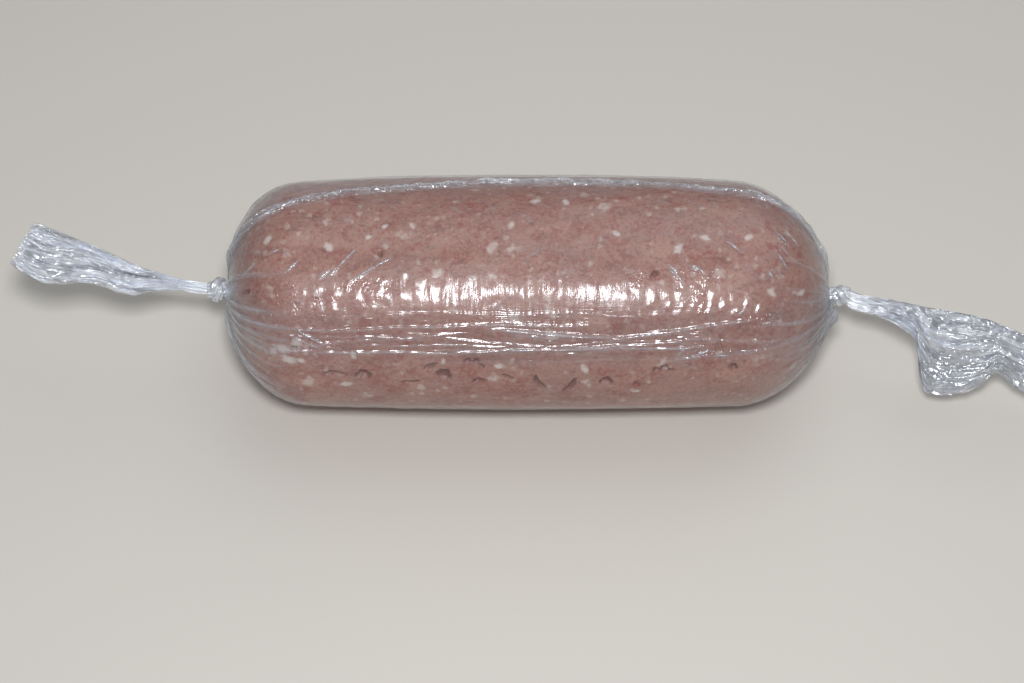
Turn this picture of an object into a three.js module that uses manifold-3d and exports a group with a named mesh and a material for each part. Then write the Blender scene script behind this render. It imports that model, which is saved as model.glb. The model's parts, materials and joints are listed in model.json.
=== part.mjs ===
// A roll of ground meat wrapped in clear film, with each end of the film tied in a knot.
// Millimetres, +Z up. The sausage lies along X, and the origin is the middle of the flat
// underside that it rests on.
import * as THREE from 'three';
import { mergeVertices } from 'three/addons/utils/BufferGeometryUtils.js';
import Module from 'manifold-3d';

const wasm = await Module();
wasm.setup();

// The roll, measured over the film.
const ROLL_LENGTH = 201; // between the two gathered ends, without their necks
const ROLL_WIDTH = 80;
const ROUND_HEIGHT = 74; // as rolled, before its weight presses the underside flat
const PRESSED_DEPTH = 3; // how much of that height the flat underside takes away
const CROWN = 1.2; // how much fuller the middle is than the shoulders, on the radius
const LEFT_END = { depth: 29, fullness: 2.3 }; // fullness 2 is a round dome, and more is blunter
const RIGHT_END = { depth: 32, fullness: 1.9 };

// The gathered ends, as offsets of each neck from the middle line of the roll.
const LEFT_NECK = { aside: 0, rise: 2.5 };
const RIGHT_NECK = { aside: -2.3, rise: 2.5 };
const NECK_RADIUS = 2.4;
const NECK_LENGTH = 1;
const NECK_BORE_RADIUS = 0.8; // the channel that is left in the middle of the twisted film

// The film, whose turns lie on each other as one wall.
const FILM_WALL = 0.3;
const MEAT_CLEARANCE = 0.3;
const PIECE_GAP = 0.3; // between a neck, its knot and its tail
const CUT_OVERRUN = 1; // how far a cut runs past the face that it opens

// The knots.
const KNOT_LENGTH = 5.5;
const KNOT_DIAMETER = 9;
const KNOT_STRAND_RADIUS = 0.95;
const KNOT_CORE_CLEARANCE = 0.3; // how far the drawn-in middle stays inside the knot's length

// The tails. A tail leaves its knot straight, and its spine's points are [outwards, +Y, up]
// from where it leaves.
const TAIL_LEAD = 2; // the straight start
const TAIL_WALL = 0.8; // the crumpled layers of a tail, taken together
const LEFT_TAIL = {
  spine: [[6, 0, 1.5], [19, -1.7, 7], [35, 0.2, 13.5], [58, 1.5, 24]],
  width: 17,
  flare: [0.1, 0.8], // where along the spine the tail starts and stops widening
  across: [0, 0.94, 0.33],
  pleats: 2,
  pleatDepth: 1.6,
};
const RIGHT_TAIL = {
  spine: [[4, -2.1, -0.5], [12, -4.1, -0.5], [21, -7.2, -3], [28, -12.7, -7.5], [42, -15.7, -12],
    [57, -18.5, -11.5], [73, -18.5, -11]],
  width: 25,
  flare: [0.22, 0.55],
  across: [0, 0.6, 0.8],
  pleats: 3,
  pleatDepth: 2,
};

// How finely the surfaces are divided.
const STEPS_AROUND = 40;
const STEPS_ALONG_BODY = 8;
const STEPS_PER_END = 9;
const KNOT_STEPS = 48;
const STRAND_SIDES = 7;
const CORE_SIDES = 16;
const TAIL_STEPS = 16;
const STEPS_PER_PLEAT = 8;

const HALF_LENGTH = ROLL_LENGTH / 2;
const MIDDLE_HEIGHT = ROUND_HEIGHT / 2 - PRESSED_DEPTH; // the middle line's height over the table
const FLATTENING = ROUND_HEIGHT / ROLL_WIDTH;

const MEAT = new THREE.MeshStandardMaterial({ color: 0xa5786e, roughness: 0.5, metalness: 0 });
const CLEAR_FILM = new THREE.MeshStandardMaterial({
  color: 0xdfe3e8, roughness: 0.12, metalness: 0, transparent: true, opacity: 0.3,
});
const GATHERED_FILM = new THREE.MeshStandardMaterial({
  color: 0xc9cdd3, roughness: 0.3, metalness: 0, transparent: true, opacity: 0.7,
});

// One end of the profile, from the shoulder to the neck, whose radius is endRadius.
// The curve is a superellipse, and inset takes it inwards by a wall's thickness.
function endProfile(end, side, inset, endRadius) {
  const radius = ROLL_WIDTH / 2 - CROWN - inset;
  const depth = end.depth - inset;
  const power = 2 / end.fullness;
  const shoulder = HALF_LENGTH - end.depth;
  const points = [];
  for (let i = 0; i < STEPS_PER_END; i++) {
    const turn = (Math.PI / 2) * (i / STEPS_PER_END);
    const along = shoulder + depth * Math.sin(turn) ** power;
    points.push(new THREE.Vector2(radius * Math.cos(turn) ** power, side * along));
  }
  points.push(new THREE.Vector2(endRadius, side * (shoulder + depth)));
  return points;
}

// The profile from the left end to the right end, as [radius, place along X] points.
function rollProfile(inset, endRadius) {
  const left = endProfile(LEFT_END, -1, inset, endRadius).reverse();
  const right = endProfile(RIGHT_END, 1, inset, endRadius);
  const from = LEFT_END.depth - HALF_LENGTH;
  const to = HALF_LENGTH - RIGHT_END.depth;
  const body = [];
  for (let i = 1; i < STEPS_ALONG_BODY; i++) {
    const along = from + ((to - from) * i) / STEPS_ALONG_BODY;
    const offCentre = (2 * i) / STEPS_ALONG_BODY - 1;
    body.push(new THREE.Vector2(ROLL_WIDTH / 2 - CROWN * offCentre ** 2 - inset, along));
  }
  return [...left, ...body, ...right];
}

// How far a point is into an end: 0 on the body and 1 at the neck.
function intoEnd(along, end) {
  const shoulder = HALF_LENGTH - end.depth;
  return THREE.MathUtils.smoothstep(Math.abs(along), shoulder, HALF_LENGTH);
}

// Turns a profile about the middle line, then lets the roll settle: its section goes from round
// to wider than high, its necks move off the middle line, and what would be under floorHeight
// is pressed flat.
function settledLathe(profile, floorHeight) {
  const geometry = new THREE.LatheGeometry(profile, STEPS_AROUND);
  const place = geometry.attributes.position;
  for (let i = 0; i < place.count; i++) {
    const along = place.getY(i);
    const neck = along < 0 ? LEFT_NECK : RIGHT_NECK;
    const amount = intoEnd(along, along < 0 ? LEFT_END : RIGHT_END);
    const aside = place.getZ(i) + neck.aside * amount;
    const height = MIDDLE_HEIGHT + place.getX(i) * FLATTENING + neck.rise * amount;
    place.setXYZ(i, along, aside, Math.max(height, floorHeight));
  }
  return geometry;
}

// A solid of the whole roll, drawn in by inset, with a straight neck at each end.
function rollSolid(inset, neckRadius, neckEnd) {
  return solidOf(settledLathe([
    new THREE.Vector2(0, -neckEnd),
    new THREE.Vector2(neckRadius, -neckEnd),
    ...rollProfile(inset, neckRadius),
    new THREE.Vector2(neckRadius, neckEnd),
    new THREE.Vector2(0, neckEnd),
  ], inset));
}

function meatGeometry() {
  const inset = FILM_WALL + MEAT_CLEARANCE;
  return settledLathe(rollProfile(inset, 0), inset);
}

// The wrap is open at both necks, because the film is only gathered there.
function wrapGeometry() {
  const neckEnd = HALF_LENGTH + NECK_LENGTH;
  const outside = rollSolid(0, NECK_RADIUS, neckEnd);
  const inside = rollSolid(FILM_WALL, NECK_BORE_RADIUS, neckEnd + CUT_OVERRUN);
  return geometryOf(outside.subtract(inside));
}

function solidOf(geometry) {
  geometry.deleteAttribute('normal');
  geometry.deleteAttribute('uv');
  const merged = mergeVertices(geometry, 1e-3);
  return new wasm.Manifold(new wasm.Mesh({
    numProp: 3,
    vertProperties: merged.attributes.position.array,
    triVerts: new Uint32Array(merged.index.array),
  }));
}

function geometryOf(solid) {
  const mesh = solid.getMesh();
  const geometry = new THREE.BufferGeometry();
  geometry.setAttribute('position', new THREE.BufferAttribute(mesh.vertProperties, 3));
  geometry.setIndex(new THREE.BufferAttribute(mesh.triVerts, 1));
  geometry.computeVertexNormals();
  return geometry;
}

// An overhand knot: a trefoil of twisted film pulled tight round its own middle.
// Its first end is at X = 0, and it runs along +X.
function knotGeometry() {
  const strandReach = 1.5; // TorusKnotGeometry's outermost path, as a multiple of its radius
  const pathRadius = (KNOT_DIAMETER / 2 - KNOT_STRAND_RADIUS) / strandReach;
  const loops = new THREE.TorusKnotGeometry(pathRadius, KNOT_STRAND_RADIUS, KNOT_STEPS, STRAND_SIDES, 2, 3);
  loops.rotateY(Math.PI / 2);
  loops.translate(KNOT_LENGTH / 2, 0, 0);
  const core = new THREE.CylinderGeometry(NECK_RADIUS, NECK_RADIUS, KNOT_LENGTH, CORE_SIDES);
  core.rotateZ(Math.PI / 2);
  core.translate(KNOT_LENGTH / 2, 0, 0);
  const waistRadius = KNOT_DIAMETER / 2 - KNOT_STRAND_RADIUS;
  const waist = new THREE.SphereGeometry(waistRadius, CORE_SIDES, CORE_SIDES / 2);
  waist.scale((KNOT_LENGTH / 2 - KNOT_CORE_CLEARANCE) / waistRadius, 1, 1);
  waist.translate(KNOT_LENGTH / 2, 0, 0);
  return geometryOf(solidOf(loops).add(solidOf(core)).add(solidOf(waist)));
}

// A tail: a box that is drawn out along the spine. It starts as thick as the neck, and thins and
// widens to a pleated sheet.
function tailGeometry(tail, side) {
  const places = [[0, 0, 0], [TAIL_LEAD, 0, 0], ...tail.spine];
  const points = places.map(([out, aside, up]) => new THREE.Vector3(side * out, aside, up));
  const spine = new THREE.CatmullRomCurve3(points, false, 'centripetal');
  const upAcross = new THREE.Vector3(...tail.across);
  const geometry = new THREE.BoxGeometry(1, 2, 2, TAIL_STEPS, tail.pleats * STEPS_PER_PLEAT, 1);
  const place = geometry.attributes.position;
  for (let i = 0; i < place.count; i++) {
    const t = place.getX(i) + 0.5;
    const open = THREE.MathUtils.smoothstep(t, tail.flare[0], tail.flare[1]);
    const along = spine.getTangentAt(t);
    const across = upAcross.clone().addScaledVector(along, -upAcross.dot(along)).normalize();
    const normal = along.clone().cross(across);
    const halfWidth = THREE.MathUtils.lerp(NECK_RADIUS * Math.SQRT1_2, tail.width / 2, open);
    const halfWall = THREE.MathUtils.lerp(NECK_RADIUS * Math.SQRT1_2, TAIL_WALL / 2, open);
    const pleat = tail.pleatDepth * open * Math.sin(place.getY(i) * Math.PI * tail.pleats);
    const point = spine.getPointAt(t)
      .addScaledVector(across, halfWidth * place.getY(i))
      .addScaledVector(normal, halfWall * place.getZ(i) + pleat);
    place.setXYZ(i, point.x, point.y, point.z);
  }
  return geometry;
}

const sausage = new THREE.Group();

function addPiece(name, geometry, material) {
  const piece = new THREE.Mesh(geometry, material);
  piece.name = name;
  sausage.add(piece);
  return piece;
}

// A knot and a tail stand in line with the neck of their end.
function addTiedEnd(name, side, neck, tail) {
  const height = MIDDLE_HEIGHT + neck.rise;
  const knotStart = HALF_LENGTH + NECK_LENGTH + PIECE_GAP;
  const knot = addPiece(`${name}_knot`, knotGeometry(), GATHERED_FILM.clone());
  knot.position.set(side * knotStart, neck.aside, height);
  knot.rotation.z = side < 0 ? Math.PI : 0;
  const tailStart = knotStart + KNOT_LENGTH + PIECE_GAP;
  const end = addPiece(`${name}_tail`, tailGeometry(tail, side), GATHERED_FILM.clone());
  end.position.set(side * tailStart, neck.aside, height);
}

addPiece('sausage_meat', meatGeometry(), MEAT);
addPiece('film_wrap', wrapGeometry(), CLEAR_FILM);
addTiedEnd('left', -1, LEFT_NECK, LEFT_TAIL);
addTiedEnd('right', 1, RIGHT_NECK, RIGHT_TAIL);

export default sausage;
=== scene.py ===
"""A roll of raw ground meat wound in clear kitchen film, each end tied in a knot of the film itself.

Metres, +Z up. The roll lies along X and rests on Z = 0. Lengths below are written in millimetres
times MM. A place on the roll is given by X and by a turn: an angle round the roll from the top,
positive towards the front (-Y).

The film round the roll is one wrap. Its folds, pleats and tight lines are pieces of their own, laid
on the wrap's surface.
"""

import json
import math

import bpy
import numpy as np
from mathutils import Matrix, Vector, noise

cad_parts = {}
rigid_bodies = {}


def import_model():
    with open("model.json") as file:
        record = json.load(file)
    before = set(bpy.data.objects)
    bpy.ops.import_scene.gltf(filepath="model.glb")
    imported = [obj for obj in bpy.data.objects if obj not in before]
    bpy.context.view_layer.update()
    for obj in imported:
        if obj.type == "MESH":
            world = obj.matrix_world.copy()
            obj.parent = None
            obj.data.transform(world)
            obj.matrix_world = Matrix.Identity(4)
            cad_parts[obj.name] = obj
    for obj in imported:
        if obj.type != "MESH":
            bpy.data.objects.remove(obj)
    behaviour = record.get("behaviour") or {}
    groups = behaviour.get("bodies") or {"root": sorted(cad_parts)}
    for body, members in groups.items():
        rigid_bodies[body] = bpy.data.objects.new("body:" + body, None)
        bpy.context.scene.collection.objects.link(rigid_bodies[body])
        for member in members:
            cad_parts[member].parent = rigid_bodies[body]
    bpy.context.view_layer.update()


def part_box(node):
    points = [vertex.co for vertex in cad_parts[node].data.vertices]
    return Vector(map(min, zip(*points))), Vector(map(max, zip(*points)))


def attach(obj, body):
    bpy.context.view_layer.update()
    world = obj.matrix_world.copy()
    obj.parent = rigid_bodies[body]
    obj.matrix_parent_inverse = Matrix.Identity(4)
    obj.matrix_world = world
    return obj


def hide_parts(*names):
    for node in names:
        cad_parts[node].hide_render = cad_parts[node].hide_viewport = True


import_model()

MM = 0.001
ROLL_SEED = 11

# The roll's outer size, from the frame. What the frame's boxes don't hold repeats the CAD values.
WRAP_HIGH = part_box("film_wrap")[1]
NECK_LENGTH = 1 * MM
NECK_RADIUS = 2.4 * MM
HALF_LENGTH = WRAP_HIGH.x - NECK_LENGTH
HALF_WIDTH = WRAP_HIGH.y
PRESSED_DEPTH = 3 * MM
ROUND_HEIGHT = WRAP_HIGH.z + PRESSED_DEPTH
MIDDLE_HEIGHT = ROUND_HEIGHT / 2 - PRESSED_DEPTH
FLATTENING = ROUND_HEIGHT / (2 * HALF_WIDTH)
CROWN = 1.2 * MM  # how much thicker the roll's middle is than its shoulders, at the side

# What differs between the left end, -1, and the right end, 1.
SIDE_NAME = {-1: "left", 1: "right"}
END_DEPTH = {-1: 29 * MM, 1: 32 * MM}
END_FULLNESS = {-1: 2.3, 1: 1.9}
NECK_ASIDE = {-1: 0.0, 1: -2.3 * MM}
NECK_RISE = {-1: 2.5 * MM, 1: 2.5 * MM}


# ---------------------------------------------------------------- small tools

def deselect_all():
    for other in bpy.data.objects:
        other.select_set(False)


def select_only(*pieces):
    """Selects just these pieces, the first of them as the active one."""
    deselect_all()
    for piece in pieces:
        piece.select_set(True)
    bpy.context.view_layer.objects.active = pieces[0]


def join_pieces(name, *pieces):
    select_only(*pieces)
    bpy.ops.object.join()
    joined = bpy.context.object
    joined.name = name
    return joined


def edit(piece, *operations):
    """Runs edit-mode operators on all of a piece."""
    select_only(piece)
    bpy.ops.object.mode_set(mode="EDIT")
    bpy.ops.mesh.select_all(action="SELECT")
    for operation in operations:
        operation()
    bpy.ops.object.mode_set(mode="OBJECT")
    piece.select_set(False)


def places_of(piece):
    flat = np.empty(len(piece.data.vertices) * 3, np.float32)
    piece.data.vertices.foreach_get("co", flat)
    return flat.reshape(-1, 3).astype(float)


def set_places(piece, places):
    piece.data.vertices.foreach_set("co", places.astype(np.float32).ravel())
    piece.data.update()


def normals_of(piece):
    flat = np.empty(len(piece.data.vertices) * 3, np.float32)
    piece.data.vertex_normals.foreach_get("vector", flat)
    return flat.reshape(-1, 3).astype(float)


def smoothstep(low, high, values):
    share = np.clip((values - low) / (high - low), 0, 1)
    return share * share * (3 - 2 * share)


def running_total(steps):
    return np.concatenate([[0], np.cumsum(steps)])


def turn_gap(turn, other):
    """From one turn to another, the short way round."""
    return np.angle(np.exp(1j * (turn - other)))


def flat_sheet(along, across):
    """Places on a flat sheet, for noise that follows the sheet."""
    return np.stack([along, across, 0 * along], 1)


def cloud(places, size, seed=0):
    """Smooth noise from -1 to 1 whose lumps are about size across. size may differ per axis."""
    scaled = places / np.asarray(size, float) + seed * 17.31
    return np.array([noise.noise(Vector(p)) for p in scaled])


def paint(piece, name, values):
    """Keeps a value for each vertex, which the piece's material reads by name."""
    layer = piece.data.attributes.new(name, "FLOAT", "POINT")
    layer.data.foreach_set("value", np.asarray(values, np.float32))


def lay_grid(name, along, around, place, measure):
    """A sheet of along by around cells, laid where place(share_along, share_around) says.

    Both shares run from 0 to 1. measure gives the sheet's own flat place, kept as its UV map.
    """
    deselect_all()
    bpy.ops.mesh.primitive_grid_add(x_subdivisions=along, y_subdivisions=around, size=2)
    piece = bpy.context.object
    piece.name = name
    flat = places_of(piece)
    share_along, share_around = (flat[:, 0] + 1) / 2, (flat[:, 1] + 1) / 2
    set_places(piece, place(share_along, share_around))
    corner_vertex = np.empty(len(piece.data.loops), np.int32)
    piece.data.loops.foreach_get("vertex_index", corner_vertex)
    spread = np.stack(measure(share_along, share_around), 1)[corner_vertex]
    piece.data.uv_layers[0].data.foreach_set("uv", spread.astype(np.float32).ravel())
    return piece, share_along, share_around


def weld(piece, distance=1e-6):
    edit(piece, lambda: bpy.ops.mesh.remove_doubles(threshold=distance))


def finish_piece(piece, node, material):
    piece.data.materials.clear()
    piece.data.materials.append(material)
    select_only(piece)
    bpy.ops.object.shade_smooth()
    piece.select_set(False)
    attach(piece, "root")
    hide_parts(node)


# ---------------------------------------------------------------- the roll's surface

PROFILE_STEPS = 240


def end_profile(side, inset):
    """X and radius from the shoulder out to the neck."""
    turn = np.linspace(0, math.pi / 2, PROFILE_STEPS)
    power = 2 / END_FULLNESS[side]
    shoulder = HALF_LENGTH - END_DEPTH[side]
    x = shoulder + (END_DEPTH[side] - inset) * np.sin(turn) ** power
    radius = (HALF_WIDTH - CROWN - inset) * np.abs(np.cos(turn)) ** power
    return side * x, radius


def roll_profile(inset, end_radius):
    """The whole profile, from left neck to right: the length up to each place, its X and radius."""
    left_x, left_radius = end_profile(-1, inset)
    right_x, right_radius = end_profile(1, inset)
    body_x = np.linspace(left_x[0], right_x[0], PROFILE_STEPS)[1:-1]
    middle, half = (left_x[0] + right_x[0]) / 2, (right_x[0] - left_x[0]) / 2
    body_radius = HALF_WIDTH - CROWN * ((body_x - middle) / half) ** 2 - inset
    x = np.concatenate([left_x[::-1], body_x, right_x])
    radius = np.concatenate([left_radius[::-1], body_radius, right_radius])
    radius = np.maximum(radius, end_radius)
    length = running_total(np.hypot(np.diff(x), np.diff(radius)))
    return length, x, radius


def settle(x, radius, turn):
    """The place on the settled roll: wider than high, necks off the middle line, underside flat."""
    side_left = x < 0
    depth = np.where(side_left, END_DEPTH[-1], END_DEPTH[1])
    amount = smoothstep(0, 1, (np.abs(x) - (HALF_LENGTH - depth)) / depth)
    aside = np.where(side_left, NECK_ASIDE[-1], NECK_ASIDE[1])
    rise = np.where(side_left, NECK_RISE[-1], NECK_RISE[1])
    y = -radius * np.sin(turn) + aside * amount
    z = MIDDLE_HEIGHT + radius * np.cos(turn) * FLATTENING + rise * amount
    return np.stack([x, y, np.maximum(z, 0)], 1)


def window(values, start, stop, fade):
    return smoothstep(start, start + fade, values) * (1 - smoothstep(stop - fade, stop, values))


def uneven_turns(weights):
    """Shares from 0 to 1 and the turns, from +pi down to -pi, that they stand for.

    weights lists from turn, to turn, both in degrees, and how much finer the cells are there.
    """
    steps = np.radians(np.linspace(180, -180, 1441))
    fine = np.ones_like(steps)
    for start, stop, finer in weights:
        fine += (finer - 1) * window(steps, math.radians(start), math.radians(stop), math.radians(8))
    shares = running_total((fine[1:] + fine[:-1]) / 2)
    return shares / shares[-1], steps


# Loose film, which stands off the meat behind the fold: its lift, and the turns and the X that it
# runs between.
LOOSE_LIFT = 1.1 * MM
LOOSE_TURNS = (math.radians(-118), math.radians(-36))
LOOSE_X = (-84 * MM, 82 * MM)


def loose_lift(x, turn):
    lift = LOOSE_LIFT * window(turn, LOOSE_TURNS[0], LOOSE_TURNS[1], 0.5)
    return lift * window(x, LOOSE_X[0], LOOSE_X[1], 40 * MM)


# A little meat that the film's knot has squeezed out under the right neck.
BULGE_TURN = math.radians(102)
BULGE_RADIUS = 7.4 * MM
BULGE_WIDTH = 3.4 * MM
BULGE_HEIGHT = 2.6 * MM


def bulge(x, turn, radius):
    side = radius * np.sin(turn) - BULGE_RADIUS * math.sin(BULGE_TURN)
    up = radius * np.cos(turn) - BULGE_RADIUS * math.cos(BULGE_TURN)
    return np.where(x > 0, BULGE_HEIGHT * np.exp(-(side**2 + up**2) / BULGE_WIDTH**2), 0)


def fuller_part(x, turn, radius):
    """The roll is a little fuller left of its middle, just in front of the top."""
    along, down = (x + 20 * MM) / (28 * MM), radius * (turn - math.radians(3)) / (11 * MM)
    return 1.0 * MM * np.exp(-(along**2) - down**2)


# ---------------------------------------------------------------- the meat

MEAT_INSET = 0.5 * MM
MEAT_ROUND_CELLS = 222
MEAT_LENGTH_CELLS = 440

# The meat's lumps, from coarse to fine: their height, and their size, which may differ per axis.
MEAT_LUMPS = [(0.22 * MM, 9 * MM), (0.10 * MM, 3.2 * MM), (0.05 * MM, (2.4 * MM, 1.1 * MM, 1.1 * MM))]

# How much of the loose film's lift and of the bulge the meat itself fills.
LOOSE_MEAT, BULGE_MEAT = 0.75, 0.85

# Air pockets against the film: X in mm, turn in degrees, half length, half height and depth in mm,
# slant in degrees, and how far the middle bends up as a share of the half height.
AIR_POCKETS = [
    (-63.4, 75.5, 3.8, 0.8, 1.2, 2, 1.0), (-54.3, 75.5, 2.5, 1.5, 1.5, 0, 0.6),
    (-39, 80.5, 3.0, 0.6, 1.2, -5, -0.3), (-32.2, 69.5, 2.5, 0.7, 1.3, -35, 0.3),
    (-27.8, 75, 2.4, 2.0, 1.1, 15, 0.4), (-16.4, 79, 2.2, 0.9, 1.4, -12, 0.4),
    (3.1, 80.5, 3.7, 0.8, 1.3, 62, -1.1), (13.4, 83, 3.8, 0.8, 1.4, -60, -1.0),
    (24.8, 80, 2.1, 1.6, 1.3, 20, 0.6), (-20, 66, 1.1, 0.8, 0.8, 0, 0.4),
    (-17.3, 66.5, 1.2, 0.9, 0.8, 30, 0.4), (-15.6, 69, 0.9, 0.8, 0.8, 0, 0.3),
    (41.4, 72, 1.2, 0.8, 0.9, -20, 0.4), (44, 70.5, 1.5, 0.9, 1.0, 10, 0.6),
    (46, 72.5, 1.1, 0.8, 0.9, 30, 0.3), (34.9, 82, 1.0, 0.8, 0.8, 0, 0.3),
    (66, 71, 1.6, 1.2, 1.0, 40, 0.4), (-76, 60, 1.2, 0.8, 0.9, 20, 0.3),
    (-7, 76, 2.2, 0.5, 0.7, 25, 0.3), (-92, 33, 1.5, 0.6, 0.7, -20, 0.3),
    (40, 22, 1.7, 0.7, 0.9, -20, 0.4), (-48, 12, 1.2, 0.8, 0.7, 30, 0.4),
    (30, -48, 2.2, 1.0, 1.1, 10, 0.6), (-25, -62, 2.6, 0.9, 1.2, -10, 0.6),
    (-58, -75, 1.8, 1.2, 1.2, 5, 0.5), (8, -88, 2.0, 1.1, 1.3, 15, 0.6),
    (55, -80, 2.4, 1.0, 1.2, -5, 0.6), (78, -40, 1.5, 1.1, 1.0, 20, 0.5),
]


def pocket_depths(x, turn, radius):
    """How deep the air pockets are, and how much painted shade a point inside one gets, 0 to 1: half
    over the whole pocket, full under its upper lip.
    """
    depth, shaded = np.zeros_like(x), np.zeros_like(x)
    sheet = flat_sheet(x, radius * turn)
    ragged, uneven = 0.28 * cloud(sheet, 1.7 * MM, 4), 0.35 * cloud(sheet, 1.4 * MM, 5)
    for at, angle, half_length, half_height, deep, slant, bend in AIR_POCKETS:
        over, down = (x - at * MM) / MM, radius * (turn - math.radians(angle)) / MM
        level, steep = math.cos(math.radians(slant)), math.sin(math.radians(slant))
        along = (over * level + down * steep) / (1.15 * half_length) + ragged
        across = (down * level - over * steep) / (1.35 * half_height) + uneven
        bow = across - bend * (along**2 - 0.3)
        fill = np.clip(1 - along**2 - bow**2, 0, 1)
        depth = np.maximum(depth, 1.35 * deep * MM * np.where(bow < 0, fill**0.6, fill))
        # Painted shade: the pocket's hollow is darkened, most of all under its upper lip.
        under_lip = smoothstep(0.0, 0.25, fill) * (0.5 + 0.5 * smoothstep(0.8, -0.3, bow))
        shaded = np.maximum(shaded, under_lip)
    return depth, shaded


# Larger bits of fat against the film: X in mm, turn in degrees and radius in mm.
FAT_BITS = [
    (-80, 61, 3.2), (-75.5, 58, 2.8), (-78, 67, 2.7), (-83, 64, 2.0), (-74, 67, 1.6), (-85, 2, 1.9),
    (-65, 8, 2.1), (-47, -3, 1.5), (-38, -3, 1.6), (-52, 3, 1.3), (-57, 63, 1.8), (-60, 83, 2.1),
    (-28, 66, 1.4), (-10, 69, 2.0), (-6, -3, 1.8), (57, 3, 1.9), (48, 9, 2.3), (28, 1, 1.7),
    (71, 2, 1.9), (78, 31, 1.8), (88, 30, 1.7), (18, 71, 2.1), (2, -20, 2.2), (12, -19, 1.8),
    (35, 88, 1.5), (-20, -55, 2.2), (26, -70, 1.9), (60, -60, 2.1), (-62, -64, 2.0), (0, -95, 2.3),
]


def fat_bits(x, turn, radius):
    fat = np.zeros_like(x)
    for number, (at, angle, size) in enumerate(FAT_BITS):
        over, down = (x - at * MM) / (size * MM), radius * (turn - math.radians(angle)) / (size * MM)
        lean = number * 1.7
        long_way = over * math.cos(lean) + down * math.sin(lean)
        short_way = down * math.cos(lean) - over * math.sin(lean)
        fat = np.maximum(fat, smoothstep(1.5, 0.1, np.hypot(0.8 * long_way, 1.3 * short_way)))
    return fat


MEAT_SHARES, MEAT_STEPS = uneven_turns([(-45, 100, 2.0), (58, 94, 2.5)])


def make_meat(material):
    deselect_all()
    bpy.ops.mesh.primitive_uv_sphere_add(
        segments=MEAT_ROUND_CELLS, ring_count=MEAT_LENGTH_CELLS, radius=1)
    meat = bpy.context.object
    meat.name = "meat_roll"
    ball = places_of(meat)
    share = 1 - np.arccos(np.clip(ball[:, 2], -1, 1)) / math.pi
    turn = np.arctan2(-ball[:, 0], ball[:, 1])
    turn = np.interp(0.5 - turn / (2 * math.pi), MEAT_SHARES, MEAT_STEPS)
    length, profile_x, profile_radius = roll_profile(MEAT_INSET, 0)
    x = np.interp(share * length[-1], length, profile_x)
    radius = np.interp(share * length[-1], length, profile_radius)
    set_places(meat, settle(x, radius, turn))
    places, normals = places_of(meat), normals_of(meat)
    depth, shaded = pocket_depths(x, turn, radius)
    lift = -depth + LOOSE_MEAT * loose_lift(x, turn)
    for seed, (height, size) in enumerate(MEAT_LUMPS, 1):
        lift += height * cloud(places, size, seed)
    lift += BULGE_MEAT * bulge(x, turn, radius) + fuller_part(x, turn, radius)
    places += normals * lift[:, None]
    places[:, 2] = np.maximum(places[:, 2], MEAT_INSET)
    set_places(meat, places)
    # Keeps the painted shade of the air pockets for the meat's material.
    paint(meat, "pocket_shade", shaded)
    paint(meat, "fat", fat_bits(x, turn, radius))
    finish_piece(meat, "sausage_meat", material)


# ---------------------------------------------------------------- the film round the roll

FILM_RUN, FILM_X, FILM_RADIUS = roll_profile(0, NECK_RADIUS)
FULL_RUN = FILM_RUN[-1]
OVERLAY_INSET = 2 * MM
FILM_LENGTH_CELLS = 430
FILM_ROUND_CELLS = 224
WRAP_SHARES, WRAP_STEPS = uneven_turns([(-50, 100, 2.2)])

# What the film's material reads at each vertex: how milky the film is, how far its fine lines turn to
# run along the roll, how strong those lines are, how crinkled it is, and how much of it is there.
FILM_MARKS = ("haze", "lengthwise", "lines", "crinkle", "presence")

# The film is tightest, with its lines strongest, within this reach of this X.
TIGHT_MIDDLE = 1 * MM
TIGHT_REACH = 30 * MM
LEAST_LINES = 0.3
TIGHT_LINES = 1.5
EVEN_REACH = 37 * MM  # past it, the film lies in small uneven swells

WRINKLE_COUNT = 420
TIGHT_SHARE = 0.55  # the share of the wrinkles that lie in the tight part
PULL_COUNT = 44
FINE_CREASE_COUNT = 46

# The free edge of the film: a gathered fold that runs the length of the roll behind its top, as
# X in mm and turn in degrees.
FOLD_LINE = [(-101, -14), (-86, -16), (-74, -22), (-60, -29), (-35, -33), (-15, -37), (42, -37),
             (60, -32), (76, -28), (92, -33), (101, -38)]
FOLD_CELLS = (640, 46)
FOLD_STRANDS = 8
FOLD_HALF_WIDTH = 3.8 * MM
STRANDS_WIDTH = 4.2 * MM

# Long creases in front: where each starts and stops, as X in mm and turn in degrees, its height
# and half width in mm, and how far it wanders in degrees.
FRONT_CREASES = [
    (-99, 50, 22, 46, 0.45, 0.40, 1.2), (-99, 61, -20, 51, 0.40, 0.40, 1.5),
    (-88, 62, 60, 57.5, 0.70, 0.42, 1.0), (-60, 56, -5, 58, 0.40, 0.32, 1.2),
    (-16, 48, 34, 54, 0.85, 0.45, 0.5), (-10, 50, 10, 53, 0.50, 0.35, 0.5),
    (-8, 60, 45, 55.5, 0.60, 0.40, 0.8), (5, 57, 30, 59.5, 0.50, 0.35, 0.8),
    (-34, 39, 20, 43, 0.07, 0.32, 2.2), (-14, 43, 40, 41, 0.08, 0.30, 2.0),
    (20, 55, 76, 44, 0.70, 0.42, 0.6), (70, 45, 100, 52, 0.45, 0.50, 0.5),
    (30, 58, 62, 51, 0.45, 0.35, 0.8), (40, 66, 98, 58, 0.50, 0.45, 0.8),
    (-30, 66, 40, 64, 0.30, 0.35, 1.0), (-78, 52, -66, 60, 0.90, 0.60, 0.3),
]
PLEATS_CELLS = (560, 84)
PLEATS_HALF_WIDTH = 13 * MM
PLEATS_TURN = math.radians(53)

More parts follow.
